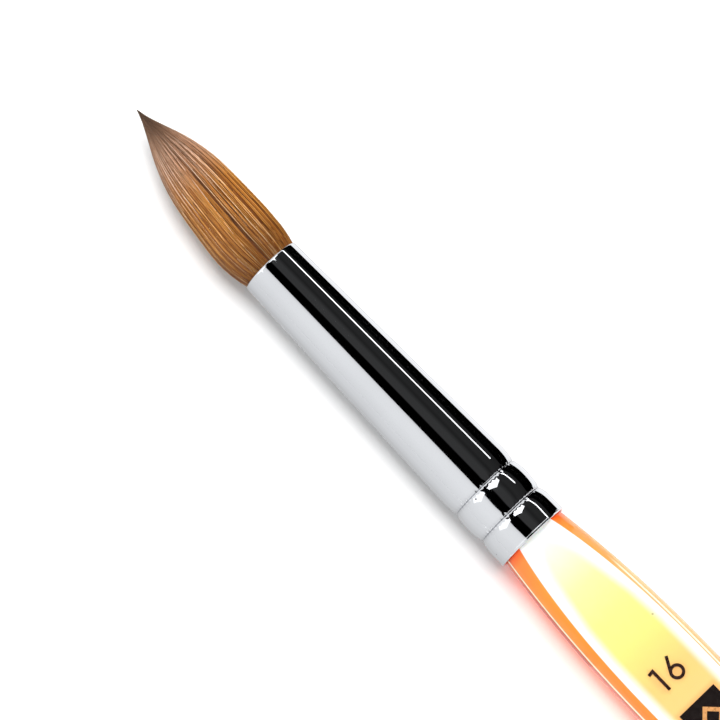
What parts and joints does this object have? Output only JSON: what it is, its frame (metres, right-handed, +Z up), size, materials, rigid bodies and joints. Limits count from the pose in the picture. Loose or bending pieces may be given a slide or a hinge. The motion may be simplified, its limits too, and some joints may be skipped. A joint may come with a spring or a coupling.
{
  "type": "acrylic nail brush",
  "caption": "Round pointed acrylic nail brush: a hair tuft that flexes, a plated double-crimped ferrule and a belly-shaped neon acrylic handle with a printed flat.",
  "frame": {"origin": "on the table, under the middle of the brush's length and width", "axes": "+X along the brush towards the tip of the hair, +Z up, out of the printed flat, which faces up"},
  "size_m": [0.183, 0.0116, 0.0106],
  "materials": {
    "neon_acrylic": "polished, translucent neon orange",
    "plated_metal": "mirror-polished plate over brass tube",
    "hair": "satin golden-brown hair",
    "thread": "waxed thread",
    "epoxy": "cured resin",
    "ink": "printed ink film",
    "copper_foil": "copper-coloured foil"
  },
  "bodies": {
    "brush": {"handle": "neon_acrylic", "ferrule": "plated_metal", "hair_roots": "hair", "binding_thread": "thread", "epoxy_plug": "epoxy", "size_digit_1": "ink", "size_digit_6": "ink", "label_panel": "ink", "label_emblem": "copper_foil"},
    "tuft": {"hair_tuft": "hair"}
  },
  "joints": [
    {"name": "tuft_flex", "type": "hinge", "parent": "brush", "child": "tuft", "pos_m": [0.06915, 0, 0.00584], "axis": [0, 0, 1], "range_deg": [-25, 25], "stiffness_Nm_per_rad": 0.003}
  ]
}
